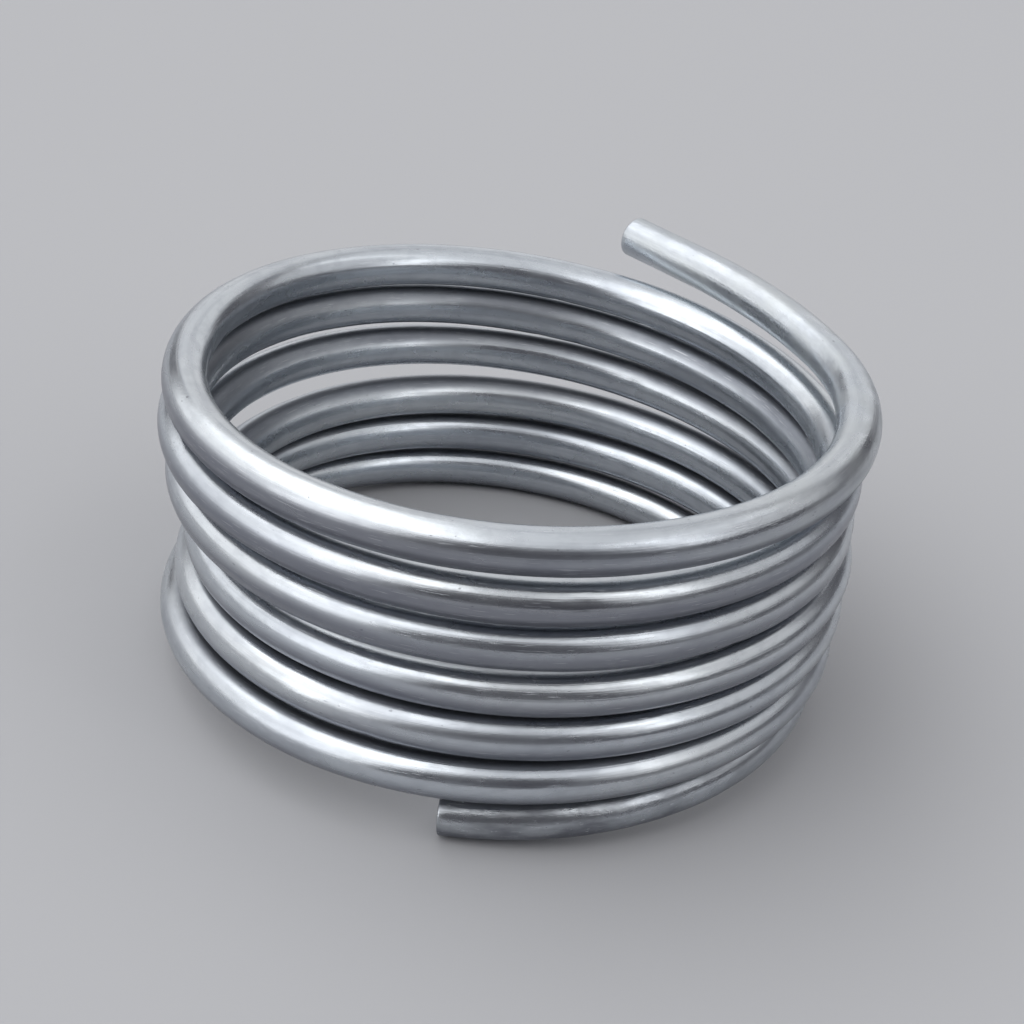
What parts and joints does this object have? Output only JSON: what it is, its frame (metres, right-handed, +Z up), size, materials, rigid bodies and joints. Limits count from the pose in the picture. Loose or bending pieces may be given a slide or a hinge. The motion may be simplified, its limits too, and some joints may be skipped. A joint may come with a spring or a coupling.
{
  "type": "coil of lead wire",
  "caption": "Single-layer coil of soft round lead wire, wound on a former and slipped off it, with a tucked lower end and a flared upper end.",
  "frame": {"origin": "where the axis of the coil's bore meets the level floor that the coil stands on", "axes": "+Z up from the floor; +X to the coil's right, the side where its turns lie close; -Y to the front, where the wire's lower end is"},
  "size_m": [0.0942, 0.0999, 0.0474],
  "materials": {
    "lead": "extruded lead, bluish grey, half bright with a light tarnish"
  },
  "bodies": {
    "root": {"lead_wire": "lead"}
  },
  "joints": []
}
